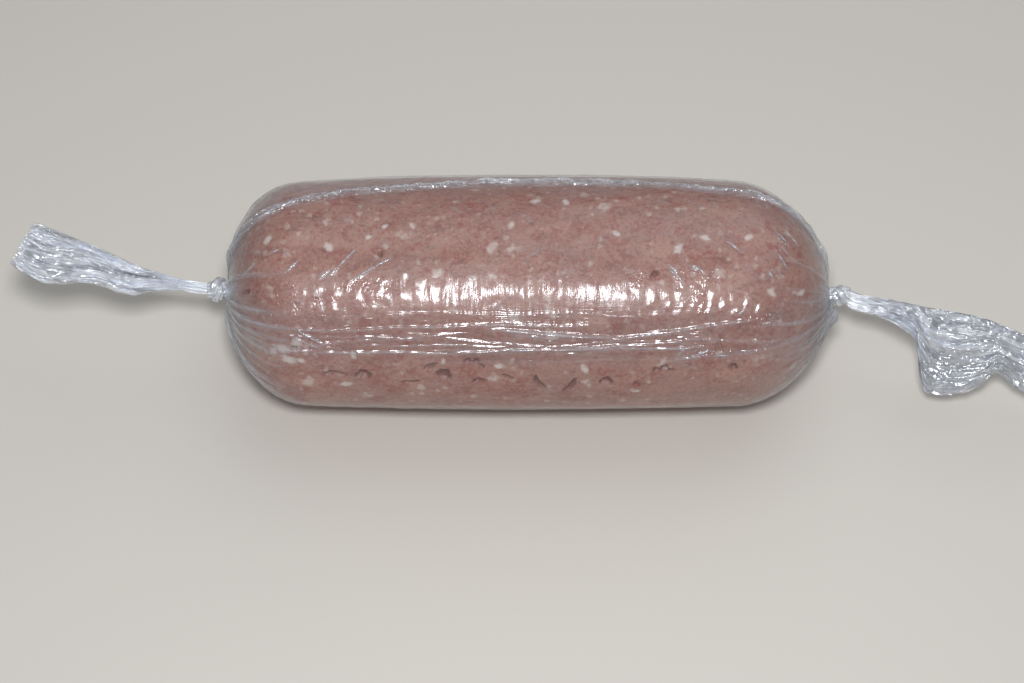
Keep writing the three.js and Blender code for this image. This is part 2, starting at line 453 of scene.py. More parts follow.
# The pleats that run in to each neck: how many, how far the film that carries them reaches from the
# neck, and how milky that film is.
END_PLEATS = {-1: 70, 1: 150}
END_FILM_RUN = 52 * MM
END_FILM_CELLS = (90, 420)
END_MILKY = {-1: 0.5, 1: 1.2}

# Strong pleats of the left end: turn in degrees, reach, height and half width in mm, and how far
# the pleat has swirled, in radians, at its reach.
LEFT_RIBS = [(86, 90, 1.9, 0.8, 0.05), (95, 80, 1.3, 0.7, 0.10), (44, 62, 0.5, 0.6, -0.05),
             (52, 84, 0.6, 0.8, -0.10), (59, 95, 0.7, 0.7, -0.12), (66, 80, 0.5, 0.9, -0.10),
             (74, 70, 0.5, 0.6, -0.05), (20, 50, 0.4, 0.5, 0.05)]

# Where the film is crinkled into small bright dents: X in mm, turn in degrees, half length and half
# height in mm, and how strongly.
CRINKLES = [
    (-48, -22, 9, 5, 2.2), (-33, -14, 6, 3.5, 1.9), (-15.5, -1.5, 3.5, 2.5, 1.5), (-76, 36, 15, 9, 0.20),
    (-52, 28, 12, 8, 0.22), (34, 24, 4, 4, 0.5), (48, 20, 6, 4, 0.5), (57, 21, 7, 5, 0.5),
    (51, 33, 6, 5, 0.35), (82, 4, 8, 12, 1.0), (42, -21, 7, 4, 2.6),
    (58, -20, 8, 4, 2.8), (73, -22, 6, 3, 2.4), (57, 62, 11, 6, 1.8), (76, 51, 7, 7, 1.5),
    (44, 74, 4, 2, 2.6), (-26.5, 77, 1.6, 1.4, 2.8), (14.5, 86, 1.8, 1.4, 2.8), (26, 83, 1.4, 1.2, 2.8),
    (-54, 77, 2.2, 1.4, 2.6), (-71, 54, 7, 3.5, 1.8), (-85, 46, 7, 5, 0.8), (-92, 0, 7, 13, 1.2),
    (-94, 40, 6, 12, 0.8), (91, 45, 6, 9, 0.8), (20, -28, 14, 4, 1.8), (-90, 80, 8, 7, 0.6),
    (-40, -100, 14, 8, 0.8), (30, -120, 16, 9, 0.8), (70, -85, 9, 7, 0.8), (-75, -130, 12, 9, 0.7),
    (0, -75, 12, 6, 0.8), (5, 120, 18, 8, 0.6), (-50, 115, 12, 7, 0.6), (60, 125, 13, 8, 0.6),
]

# Straight slanting pulls in front: X in mm, turn in degrees, half length in mm, slope and height in mm.
LONG_PULLS = [
    (-60.3, 16.5, 8, -1.06, 0.26), (-51.7, 20.2, 9.5, -0.6, 0.26), (-76.7, 18.5, 4.5, -1.0, 0.18),
    (-90.6, 18, 3.8, -0.95, 0.18), (-82.8, 10.2, 2.4, -0.4, 0.16), (-66, 22, 3, -0.9, 0.16),
    (54.5, 19.7, 3.1, 0.8, 0.26), (52.6, 19, 1.8, 0.9, 0.2), (47.5, 23.5, 4.3, 0.93, 0.22),
    (46, 19.5, 2.6, 0.9, 0.2), (81.9, -1.9, 3.2, 0.85, 0.26), (85.5, -4.6, 3.2, 0.85, 0.22),
    (81.9, 13.4, 3.3, 1.6, 0.22), (82.8, 7, 2, 1.2, 0.2), (77.5, 21.8, 1.8, 1.3, 0.22),
    (55.3, 61.5, 4, -0.45, 0.3), (48.6, 60.8, 2.3, -1.1, 0.3), (68.2, 40.4, 2.2, -0.95, 0.2),
    (-70.5, 53.5, 5.5, 0.62, 0.4), (62, 63, 2.5, 0.2, 0.25), (66, 8, 4, 0.9, 0.16),
]
PULL_HALF_WIDTH = 0.42 * MM
STRIP_HALF_WIDTH = 0.9 * MM

# Small raised drops of film, mostly in a row right of the middle, as X in mm and turn in degrees.
DROPS = [(39.5, 35.5), (45, 37), (49.2, 38), (52.6, 37.5), (55.4, 38.5), (58.6, 37), (62.4, 37.8),
         (69.8, 37), (66.4, 40.5), (74, 38.5), (57, 41.5), (77.5, 42)]


def ring_at(run):
    """X and radius of the plain film at a run, the length along it from the left neck."""
    return np.interp(run, FILM_RUN, FILM_X), np.interp(run, FILM_RUN, FILM_RADIUS)


def overlay_run(share_along):
    """The run of a piece laid on the wrap, which stops a little before each neck."""
    return OVERLAY_INSET + (FULL_RUN - 2 * OVERLAY_INSET) * share_along


def from_necks(run):
    return np.minimum(run, FULL_RUN - run)


def fold_turn(x):
    at, angles = np.array(FOLD_LINE, float).T
    near = [np.interp(x / MM + shift, at, angles) for shift in (-6, -3, 0, 3, 6)]
    return np.radians(np.mean(near, axis=0))


def crest(distance, half_width):
    """A sharp-topped wrinkle, 1 at its crest."""
    return np.exp(-np.abs(distance / half_width) ** 1.4)


def scatter_girth_wrinkles(random):
    """Short wrinkles round the roll, most of them in the tight part above the front.

    Each is X, turn, reach, slant, height and half width.
    """
    rows = []
    for number in range(WRINKLE_COUNT):
        tight = number < TIGHT_SHARE * WRINKLE_COUNT
        at = random.normal(-1, 13) if tight else random.uniform(-92, 92)
        middle = random.normal(26, 9) if tight else random.uniform(-180, 180)
        rows.append((at * MM, math.radians(middle), random.uniform(3, 13) * MM, random.normal(0, 0.08),
                     random.uniform(0.04, 0.15 if tight else 0.06) * MM,
                     random.uniform(0.42, 0.7) * MM))
    return rows


def scatter_pulls(random):
    """Straight slanting pulls, each as X, turn, half length, slope and height."""
    rows = [(at * MM, math.radians(angle), reach * MM, slope, tall * MM)
            for at, angle, reach, slope, tall in LONG_PULLS]
    for _ in range(PULL_COUNT):
        slope = random.choice([-1, 1]) * random.uniform(0.5, 1.5)
        rows.append((random.uniform(-92, 92) * MM, math.radians(random.uniform(-25, 75)),
                     random.uniform(2, 7) * MM, slope, random.uniform(0.1, 0.25) * MM))
    return rows


def scatter_fine_creases(random):
    """Short creases beside the long ones in front, each as X, turn, reach, height, width and sway."""
    rows = []
    for _ in range(FINE_CREASE_COUNT):
        rows.append((random.uniform(-85, 85) * MM, math.radians(random.normal(55.5, 4)),
                     random.uniform(5, 22) * MM, random.uniform(0.12, 0.42) * MM,
                     random.uniform(0.26, 0.36) * MM, math.radians(random.normal(0, 1.6))))
    return rows


scatter = np.random.default_rng(ROLL_SEED)
WRINKLES = scatter_girth_wrinkles(scatter)
SLANTS = scatter_pulls(scatter)
FINE_CREASES = scatter_fine_creases(scatter)


def girth_shape(x, turn, radius):
    height = np.zeros_like(x)
    for at, middle, reach, slant, tall, half_width in WRINKLES:
        near = np.abs(x - at) < 4 * MM
        off_turn = radius[near] * (turn[near] - middle)
        bend = at + slant * off_turn + 0.4 * MM * np.sin(off_turn / (3.5 * MM) + at / MM)
        fade = np.clip(1 - (off_turn / reach) ** 2, 0, 1)
        height[near] += tall * fade * crest(x[near] - bend, half_width)
    return height


def pull_shape(x, turn, radius):
    height = np.zeros_like(x)
    for at, middle, reach, slope, tall in SLANTS:
        near = np.abs(x - at) < 9 * MM
        down, over = radius[near] * (turn[near] - middle), x[near] - at
        steep = math.hypot(1, slope)
        along, aside = (over + slope * down) / steep, (down - slope * over) / steep
        fade = np.clip(1 - (along / reach) ** 2, 0, 1)
        height[near] += tall * fade * crest(aside, PULL_HALF_WIDTH)
    return height


def drop_shape(x, turn, radius):
    height = np.zeros_like(x)
    for number, (at, angle) in enumerate(DROPS):
        over, down = (x - at * MM) / MM, radius * (turn - math.radians(angle)) / MM
        own_height = (0.24 + 0.06 * math.sin(number * 2.3)) * MM
        height += own_height * np.exp(-((over + 0.35 * down) / 0.85) ** 2 - (down / 1.5) ** 2)
    return height


def crinkle_shape(x, turn, radius):
    """How crinkled the film is: at 1, most of its small dents are tilted by under 35 degrees."""
    share = np.full_like(x, 0.05)
    for at, angle, half_length, half_height, strong in CRINKLES:
        gap = np.abs(turn_gap(turn, math.radians(angle)))
        off = np.hypot((x - at * MM) / half_length, radius * gap / half_height) / MM
        share = np.maximum(share, strong * smoothstep(1.25, 0.35, off))
    return share


def film_base(run, turn):
    return settle(*ring_at(run), turn)


RUN_STEP, TURN_STEP = 0.2 * MM, 0.01  # how far apart the places are that give the film's slope


def film_place(run, turn, lift):
    """Places that stand lift above the plain film."""
    ahead, behind = np.clip([run + RUN_STEP, run - RUN_STEP], 0, FULL_RUN)
    along = film_base(ahead, turn) - film_base(behind, turn)
    across = film_base(run, turn + TURN_STEP) - film_base(run, turn - TURN_STEP)
    outward = np.cross(across, along)
    outward /= np.linalg.norm(outward, axis=1)[:, None] + 1e-15
    places = film_base(run, turn) + outward * lift[:, None]
    places[:, 2] = np.maximum(places[:, 2], 0)
    return places


def wrap_lift(run, turn):
    """How far the wrap stands off the plain film: swells, wrinkles, slack and fuller parts."""
    x, radius = ring_at(run)
    base = film_base(run, turn)
    lift = 0.13 * MM * cloud(base, [16 * MM, 6 * MM, 6 * MM], 31)
    uneven = 1 - np.exp(-((x - TIGHT_MIDDLE) / EVEN_REACH) ** 4)
    lift += (0.05 + 0.12 * uneven) * MM * cloud(base, [2.6 * MM, 3.5 * MM, 3.5 * MM], 32)
    lift = np.maximum(lift, -0.15 * MM)  # the film never sinks into the meat
    lift += girth_shape(x, turn, radius) + pull_shape(x, turn, radius) + drop_shape(x, turn, radius)
    lift += bulge(x, turn, radius) + loose_lift(x, turn) + fuller_part(x, turn, radius)
    lift *= smoothstep(math.pi, math.pi - 0.12, np.abs(turn))
    return lift * smoothstep(0, 3 * MM, from_necks(run))


def lay_film(name, cells, where, own_lift):
    """A piece of film over the roll.

    where gives run, turn and the piece's own place for each share. own_lift gives what the piece adds
    to the wrap's lift, and its marks but for the lines, which are worked out here.
    """
    marks = {}

    def place(share_along, share_around):
        run, turn, across = where(share_along, share_around)
        lift, haze, lengthwise, crinkle, presence = own_lift(run, turn, across)
        x, _ = ring_at(run)
        tight = np.exp(-((x - TIGHT_MIDDLE) / TIGHT_REACH) ** 4)
        lines = np.maximum(LEAST_LINES + TIGHT_LINES * tight, lengthwise)
        marks.update(zip(FILM_MARKS, (haze, lengthwise, lines, crinkle, presence)))
        return film_place(run, turn, wrap_lift(run, turn) + lift)

    def measure(share_along, share_around):
        run, turn, _ = where(share_along, share_around)
        return run, turn * HALF_WIDTH

    film, _, _ = lay_grid(name, cells[0], cells[1], place, measure)
    for mark, values in marks.items():
        paint(film, mark, values)
    return film


def make_wrap(material):
    def where(share_along, share_around):
        run = share_along * FULL_RUN
        turn = np.interp(share_around, WRAP_SHARES, WRAP_STEPS)
        return run, turn, 0 * run

    def own(run, turn, across):
        x, radius = ring_at(run)
        close = np.clip(1 - radius / (15 * MM), 0, 1) ** 1.5
        line = fold_turn(x)
        behind = smoothstep(line + 0.02, line - 0.10, turn) * smoothstep(-2.4, -1.7, turn)
        lengthwise = np.clip(smoothstep(30 * MM, 16 * MM, radius) + 0.7 * behind, 0, 1)
        haze = 0.6 * close + 0.30 * behind + 0.40 * pull_shape(x, turn, radius) / (0.2 * MM)
        return 0 * run, haze, lengthwise, crinkle_shape(x, turn, radius), 1 + 0 * run

    wrap = lay_film("film_round_roll", (FILM_LENGTH_CELLS, FILM_ROUND_CELLS), where, own)
    weld(wrap)
    finish_piece(wrap, "film_wrap", material)


def make_back_fold(material):
    def where(share_along, share_around):
        run = overlay_run(share_along)
        x, radius = ring_at(run)
        across = FOLD_HALF_WIDTH * (1 - 2 * share_around)
        narrow = np.clip(radius / (22 * MM), 0.25, 1)
        return run, fold_turn(x) + across * narrow / np.maximum(radius, 4 * MM), across

    def own(run, turn, across):
        x, _ = ring_at(run)
        sheet = flat_sheet(x, across)
        wavy = 0.6 * MM * cloud(sheet, [6 * MM, 30 * MM, 1], 41)
        band = 1 - smoothstep(1.7 * MM, 2.8 * MM, np.abs(across + wavy))
        strands = np.zeros_like(x)
        for number in range(FOLD_STRANDS):
            own_line = (number / (FOLD_STRANDS - 1) - 0.5) * STRANDS_WIDTH
            own_line += 0.45 * MM * np.sin(x / (11 * MM) + number * 2.1)
            own_line += 0.25 * MM * np.sin(x / (4.3 * MM) + number * 4.4)
            strong = 0.65 + 0.35 * np.sin(x / (17 * MM) + number * 1.3)
            strands += strong * crest(across - own_line, 0.24 * MM)
        crumple = cloud(sheet, [1.6 * MM, 0.6 * MM, 1], 42)
        lift = 0.06 * MM + band * (0.30 + 0.75 * strands + 0.62 * crumple) * MM
        bunched = 0.55 + 0.45 * cloud(flat_sheet(x, 0 * x), 17 * MM, 43)
        haze = band * (0.12 + 0.55 * strands) * (0.6 + bunched)
        lift *= smoothstep(0, 14 * MM, from_necks(run))
        presence = 1 - smoothstep(2.6 * MM, FOLD_HALF_WIDTH, np.abs(across))
        presence *= smoothstep(2 * MM, 9 * MM, from_necks(run))
        return lift, haze, 1 + 0 * x, 1.2 * band, presence

    fold = lay_film("film_back_fold", FOLD_CELLS, where, own)
    finish_piece(fold, "film_wrap", material)


def make_front_pleats(material):
    def where(share_along, share_around):
        run = overlay_run(share_along)
        _, radius = ring_at(run)
        across = PLEATS_HALF_WIDTH * (1 - 2 * share_around)
        return run, PLEATS_TURN + across / np.maximum(radius, 18 * MM), across

    def own(run, turn, across):
        x, radius = ring_at(run)
        height, haze = np.zeros_like(x), np.zeros_like(x)
        for number, (x0, turn0, x1, turn1, tall, half, wander) in enumerate(FRONT_CREASES):
            share = np.clip((x - x0 * MM) / ((x1 - x0) * MM), 0, 1)
            sway = np.sin(x / (13 * MM) + number * 1.9) + 0.6 * np.sin(x / (5.5 * MM) + number * 3.1)
            line = np.radians(turn0 + (turn1 - turn0) * share + 0.5 * wander * sway)
            fade = min(10, 0.3 * (x1 - x0)) * MM
            here = window(x, x0 * MM, x1 * MM, fade)
            ridge = here * crest(radius * (turn - line), half * MM)
            height += tall * MM * ridge
            haze = np.maximum(haze, 0.9 * tall * ridge)
        for at, middle_turn, reach, tall, half, sway in FINE_CREASES:
            near = np.abs(x - at) < reach
            line = middle_turn + sway * (x[near] - at) / reach
            ridge = (1 - ((x[near] - at) / reach) ** 2) * crest(radius[near] * (turn[near] - line), half)
            height[near] += tall * ridge
            haze[near] = np.maximum(haze[near], 0.8 * ridge * tall / MM)
        slack = cloud(flat_sheet(x, across), [14 * MM, 1.8 * MM, 1], 51)
        lift = 0.05 * MM + height + 0.10 * MM * slack
        edge = 1 - smoothstep(0.55 * PLEATS_HALF_WIDTH, PLEATS_HALF_WIDTH, np.abs(across))
        crinkle = 0.6 * crinkle_shape(x, turn, radius)
        return lift, haze, 1 + 0 * x, crinkle, edge * smoothstep(6 * MM, 16 * MM, radius)

    pleats = lay_film("film_front_pleats", PLEATS_CELLS, where, own)
    finish_piece(pleats, "film_wrap", material)


def make_pulled_lines(material):
    """The long slanting pulls, each a narrow strip along its own line, joined as one piece."""
    strips = []
    for number, (at, angle, reach, slope, tall) in enumerate(LONG_PULLS):
        steep = math.hypot(1, slope)

        def where(share_along, share_around):
            along = reach * MM * (2 * share_along - 1)
            aside = STRIP_HALF_WIDTH * (1 - 2 * share_around)
            run = np.interp(at * MM + (along - slope * aside) / steep, FILM_X, FILM_RUN)
            down = (slope * along + aside) / steep
            turn = math.radians(angle) + down / ring_at(run)[1]
            return run, turn, (along, aside)

        def own(run, turn, place):
            along, aside = place
            sway = 0.12 * MM * np.sin(along / (1.9 * MM) + number)
            beads = 0.75 + 0.35 * np.sin(along / (0.55 * MM) + 1.7 * np.sin(along / (1.3 * MM) + number))
            ridge = np.clip(1 - (along / (reach * MM)) ** 2, 0, 1) * crest(aside + sway, 0.27 * MM)
            lift = 0.04 * MM + 0.8 * tall * MM * ridge * beads
            return lift, 1.5 * ridge * beads, 0 * run, 0.8 * ridge, smoothstep(0.04, 0.45, ridge)

        strips.append(lay_film("strip", (max(12, round(5 * reach)), 14), where, own))
    lines = join_pieces("film_pulled_lines", *strips)
    finish_piece(lines, "film_wrap", material)


def make_end_film(side, material):
    random = np.random.default_rng(ROLL_SEED + side)
    pleats = []
    for number in range(END_PLEATS[side]):
        below = side > 0 and number % 3 > 0
        angle = random.normal(1.5, 0.45) if below else random.uniform(-math.pi, math.pi)
        tall = random.uniform(0.12, 0.45) if side > 0 else random.uniform(0.2, 0.75)
        pleats.append((angle, random.uniform(12, 52) * MM, tall * MM,
                       random.uniform(0.22, 0.4) * MM, random.normal(0, 0.08)))
    if side < 0:
        pleats += [(math.radians(angle), reach * MM, tall * MM, half * MM, swirl)
                   for angle, reach, tall, half, swirl in LEFT_RIBS]

    def where(share_along, share_around):
        near = share_along if side < 0 else 1 - share_along
        from_neck = 0.4 * MM + END_FILM_RUN * near
        run = from_neck if side < 0 else FULL_RUN - from_neck
        return run, math.pi * (1 - 2 * share_around), from_neck

    def own(run, turn, from_neck):
        _, radius = ring_at(run)
        height, haze = np.zeros_like(run), np.zeros_like(run)
        for angle, reach, tall, half, swirl in pleats:
            out = radius / reach
            gap = turn_gap(turn, angle + swirl * out)
            ridge = np.clip(1 - out, 0, 1) ** 0.6 * crest(radius * gap, half)
            height += tall * ridge
            haze = np.maximum(haze, ridge * np.clip(tall / (0.5 * MM), 0.5, 1.2))
        height = np.minimum(height, 2.0 * MM) * np.clip(radius / (12 * MM), 0.1, 1)
        rays = cloud(np.stack([np.cos(turn), np.sin(turn), 0.02 * radius / MM], 1), 0.09, 61)
        rays += 0.6 * cloud(np.stack([np.cos(turn), np.sin(turn), 0.03 * radius / MM], 1), 0.035, 62)
        milky = np.clip(1 - radius / (26 * MM), 0, 1) * np.clip(0.25 + 0.9 * rays, 0, 1)
        presence = 1 - smoothstep(0.55 * END_FILM_RUN, END_FILM_RUN, from_neck)
        height *= smoothstep(math.pi, math.pi - 0.1, np.abs(turn))
        lift = (0.05 * MM + height) * smoothstep(0, 2 * MM, from_neck)
        crinkle = 0.3 + 0.5 * np.clip(rays, 0, 1)
        haze = 1.5 * haze + END_MILKY[side] * milky
        return lift, haze, 1 + 0 * run, crinkle, presence

    film = lay_film(SIDE_NAME[side] + "_end_pleats", END_FILM_CELLS, where, own)
    weld(film)
    finish_piece(film, "film_wrap", material)


# ---------------------------------------------------------------- knots and tails

def path_frames(points):
    """Two crosswise directions at each point of a path, without twist."""
    tangents = np.gradient(points, axis=0)
    tangents /= np.linalg.norm(tangents, axis=1)[:, None]
    first = np.cross(tangents[0], [0.3, 0.5, 0.8])
    sides = [first / np.linalg.norm(first)]
    for tangent in tangents[1:]:
        side = sides[-1] - tangent * np.dot(sides[-1], tangent)
        sides.append(side / np.linalg.norm(side))
    return np.array(sides), np.cross(tangents, sides)


def sample(rows, wanted, steps=None):
    """Rows of a path at the wanted steps, which run evenly from 0 to 1 unless they are given."""
    if steps is None:
        steps = np.linspace(0, 1, len(rows))
    return np.stack([np.interp(wanted, steps, rows[:, axis]) for axis in range(3)], 1)


def gathered_rope(name, points, thick, pleats, twist, cells):
    """Film gathered into a rope along a path: pleats run along it with a slow twist."""
    sides, ups = path_frames(points)

    def place(share_along, share_around):
        angle = 2 * math.pi * share_around
        groove = np.sin(pleats * angle + twist * share_along)
        groove += 0.5 * np.sin((pleats * 2 + 3) * angle - twist * share_along * 1.7)
        radius = thick(share_along) * (1 + 0.09 * groove)
        cross = (np.cos(angle) * radius)[:, None] * sample(sides, share_along)
        cross += (np.sin(angle) * radius)[:, None] * sample(ups, share_along)
        return sample(points, share_along) + cross

    def measure(share_along, share_around):
        return share_along * 0.03, share_around * 0.015

    rope, _, _ = lay_grid(name, cells[0], cells[1], place, measure)
    weld(rope)
    return rope


KNOT_TIGHT = {-1: 1, 1: 0.84}  # how tall the knot is, as a share of its space
STRAND_RADIUS = 1.45 * MM
LOOP_CELLS = (220, 44)
CORE_CELLS = (60, 56)


def make_knot(side, material):
    """A rope of film looped three times round a core, as an overhand knot is."""
    low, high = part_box(SIDE_NAME[side] + "_knot")
    centre = (low + high) / 2
    half_length = (high.x - low.x) / 2
    half_tall = ((high.z - low.z) / 2 + 0.3 * MM) * KNOT_TIGHT[side]
    t = np.linspace(0, 2 * math.pi, 240)
    reach = (half_tall - STRAND_RADIUS) * (2 + np.cos(3 * t)) / 3
    loop = np.stack([
        centre.x + 0.8 * (half_length - 0.9 * STRAND_RADIUS) * np.sin(3 * t),
        centre.y + reach * np.cos(2 * t) * side,
        centre.z + reach * np.sin(2 * t),
    ], 1)
    loop_rope = gathered_rope("loop", loop, lambda share: STRAND_RADIUS + 0 * share, 7, 9, LOOP_CELLS)
    inner_end = centre.x - side * (half_length + 1.6 * MM)
    outer_end = centre.x + side * (half_length + 1.2 * MM)
    core_x = np.linspace(inner_end, outer_end, CORE_CELLS[0])
    core_line = np.stack([core_x, 0 * core_x + centre.y, 0 * core_x + centre.z], 1)

    def core_thick(share):
        closed = np.clip(20 * np.minimum(share, 1 - share), 0.02, 1) ** 0.5
        return (2.3 + 0.5 * np.sin(math.pi * share)) * MM * closed

    core = gathered_rope("core", core_line, core_thick, 8, 4, CORE_CELLS)
    knot = join_pieces(SIDE_NAME[side] + "_film_knot", loop_rope, core)
    for mark in FILM_MARKS:
        paint(knot, mark, np.ones(len(knot.data.vertices)))
    finish_piece(knot, SIDE_NAME[side] + "_knot", material)


# A tail's upper and lower edges, as (outwards, +Y, up) in mm from the outer end of its knot. Each
# hollow is a clear place: its middle along the tail, from 0 to 1, and across it, from -1 to 1, and its
# reach along and across. A lobe is clearer film that hangs lower: where it starts along the tail and
# across it. opens is how far out the tail has fully opened. milky, streaks and crinkle say how milky,
# how streaked and how crinkled it is.
TAILS = {
    -1: {
        "upper": [(-1.5, 1.2, 0.9), (3.7, 1.8, 1.7), (11.2, 1.8, 3.7), (18.4, 2.0, 7.6),
                  (25.5, 2.8, 11.2), (38, 5.9, 17.6), (50, 7.6, 24.6), (56, 9.0, 26.8)],
        "lower": [(-1.5, -1.2, -0.9), (3.7, -1.9, 0.3), (11.2, -2.0, 2.3), (18.4, -4.6, 5.4),
                  (25.5, -7.2, 7.8), (38, -6.5, 13.4), (51, -10.0, 19.4), (63, -5.0, 22.6)],
        "hollow": [(0.80, -0.62, 0.07, 0.16), (0.90, -0.35, 0.06, 0.14)],
        "lobe": None, "opens": 24 * MM, "crinkle": 1.4, "streaks": 2.0,
        "milky": 1.3, "seed": 5,
    },
    1: {
        "upper": [(-1.5, 1.0, 1.2), (0.5, -0.2, 2.4), (4, -1.4, 2.0), (9, -2.6, 2.1), (13.5, -3.7, 1.9),
                  (18.5, -4.3, 1.3), (22.5, -5.1, 1.1), (29.6, -6.4, 0.5), (38.6, -7.9, 0),
                  (46.4, -9.8, -0.5), (51, -11.7, -1.2), (57.6, -14.3, -2), (71, -19.7, -4)],
        "lower": [(-1.5, -1.0, -1.2), (0.7, -3.5, -2.6), (4.3, -4.9, -3.0), (9.3, -6.2, -3.1),
                  (14, -7.6, -3.9), (19.2, -9.6, -6.3), (23.5, -12.8, -10.1), (25.4, -22.5, -20.2),
                  (31, -25, -23), (44, -23.4, -21.5), (50.5, -20.7, -16.5), (58, -24.2, -20.5),
                  (72, -27.4, -22.3)],
        "hollow": [(0.42, -0.10, 0.05, 0.13), (0.50, -0.12, 0.06, 0.12), (0.60, -0.28, 0.06, 0.13)],
        "lobe": (0.36, -0.22), "opens": 20 * MM, "crinkle": 0.9, "streaks": 1.9,
        "milky": 0.75, "seed": 9,
    },
}
TAIL_PASSES = 5  # how many times the sheet folds across the tail
TAIL_SHEET = 18 * MM  # how wide the flat sheet is in each pass
TAIL_STEPS = 220
TAIL_CELLS = (150, 420)


def smooth_rows(rows, steps):
    """A Catmull-Rom curve through the rows, at steps places between each two of them."""
    rows = np.array(rows, float)
    ends = np.vstack([2 * rows[0] - rows[1], rows, 2 * rows[-1] - rows[-2]])
    found = []
    for a, b, c, d in zip(ends, ends[1:], ends[2:], ends[3:]):
        for t in np.linspace(0, 1, steps, endpoint=False):
            found.append(0.5 * (2 * b + (c - a) * t + (2 * a - 5 * b + 4 * c - d) * t**2
                                + (3 * b - a - 3 * c + d) * t**3))
    return np.array([*found, rows[-1]])


def zigzag(values):
    """A triangle wave from -1 to 1 with a period of 1."""
    return 4 * np.abs(values - np.floor(values + 0.5)) - 1


def tail_edges(side):
    """The tail's middle line and the half width that leads to its upper edge, at even steps."""
    low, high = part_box(SIDE_NAME[side] + "_knot")
    knot_end = high.x if side > 0 else low.x
    start = np.array([knot_end, NECK_ASIDE[side], MIDDLE_HEIGHT + NECK_RISE[side]])
    mirror = np.array([side, 1, 1]) * MM
    upper = smooth_rows(TAILS[side]["upper"], 24) * mirror + start
    lower = smooth_rows(TAILS[side]["lower"], 24) * mirror + start
    middle = (upper + lower) / 2
    length = running_total(np.linalg.norm(np.diff(middle, axis=0), axis=1))
    even = np.linspace(0, length[-1], TAIL_STEPS)
    return sample(middle, even, length), sample((upper - lower) / 2, even, length), length[-1]


def make_tail(side, material):
    tail = TAILS[side]
    seed = tail["seed"]
    middle, half, length = tail_edges(side)
    tangents = np.gradient(middle, axis=0)
    outward = np.cross(tangents, half)
    outward /= np.linalg.norm(outward, axis=1)[:, None]

    def sheet_shares(share_along, share_around):
        """Along the tail, across it from -1 to 1, and which layer, for each place of the sheet."""
        passed = share_around * TAIL_PASSES
        layer = np.floor(np.minimum(passed, TAIL_PASSES - 1e-6))
        across = zigzag(passed / 2 + 0.5)
        rows = flat_sheet(across + 2.3 * layer, 0 * across)
        ragged = 0.022 * cloud(rows, 0.35, seed) + 0.012 * cloud(rows, 0.09, seed + 1)
        along = share_along * (1.0 + ragged - 0.012 * layer)
        return along, across, layer

    def place(share_along, share_around):
        along, across, layer = sheet_shares(share_along, share_around)
        out = along * length
        opened = smoothstep(3 * MM, tail["opens"], out)
        sheet = flat_sheet(out, (across + 2.6 * layer) * TAIL_SHEET / 2)
        creased = cloud(sheet, [9 * MM, 1.7 * MM, 1], seed + 2)
        crumpled = cloud(sheet, [3.2 * MM, 1.5 * MM, 1], seed + 3)
        rolling = cloud(sheet, [14 * MM, 5 * MM, 1], seed + 4)
        pleats = zigzag(across * 2.1 + 0.37 * layer + 0.25 * np.sin(2.5 * along + layer))
        pleats += 0.5 * zigzag(across * 5.3 + 0.61 * layer + 0.5 * along)
        depth = (layer + 0.5) / TAIL_PASSES * 2 - 1
        rounded = np.sqrt(np.clip(1 - 0.92 * across**2, 0, 1))
        thick = (1.5 + 1.1 * opened) * MM
        off = -depth * rounded * thick + (0.18 + 0.42 * opened) * MM * pleats
        off += opened * MM * (1.5 * creased + 1.1 * crumpled + 1.9 * rolling)
        off += (1 - opened) * 0.25 * MM * creased
        spread = across * (1 + 0.06 * crumpled + 0.05 * rolling) + 0.04 * opened * creased
        places = sample(middle, along) + sample(half, along) * spread[:, None]
        return places + sample(outward, along) * off[:, None]

    def measure(share_along, share_around):
        return share_along * length, share_around * TAIL_PASSES * TAIL_SHEET

    film, share_along, share_around = lay_grid(
        SIDE_NAME[side] + "_film_tail", TAIL_CELLS[0], TAIL_CELLS[1], place, measure)
    along, across, _ = sheet_shares(share_along, share_around)
    wide = np.linalg.norm(sample(half, along), axis=1)
    strips = cloud(flat_sheet(along * length, across * wide), [13 * MM, 1.6 * MM, 1], seed + 6)
    haze = tail["milky"] * (1.15 - 0.45 * smoothstep(0.1, 0.55, along))
    haze *= np.clip(1 + tail["streaks"] * strips * smoothstep(0.08, 0.3, along), 0.10, 2.2)
    crinkle = 0.35 + 0.65 * smoothstep(0.1, 0.4, along)
    lengthwise = np.ones_like(haze)
    if tail["lobe"]:
        start, split = tail["lobe"]
        lobe = smoothstep(split + 0.1, split - 0.15, across) * smoothstep(start, start + 0.1, along)
        haze *= 1 - 0.78 * lobe
        crinkle += 0.8 * lobe
        lengthwise -= 0.5 * lobe
    for at, height, reach, tall in tail["hollow"]:
        gap = ((along - at) / reach) ** 2 + ((across - height) / tall) ** 2
        haze *= 1 - 0.95 * np.exp(-gap**2)
    full = np.ones_like(haze)
    for mark, values in zip(FILM_MARKS, (haze, lengthwise, full, crinkle * tail["crinkle"], full)):
        paint(film, mark, values)
    finish_piece(film, SIDE_NAME[side] + "_tail", material)


# ---------------------------------------------------------------- materials

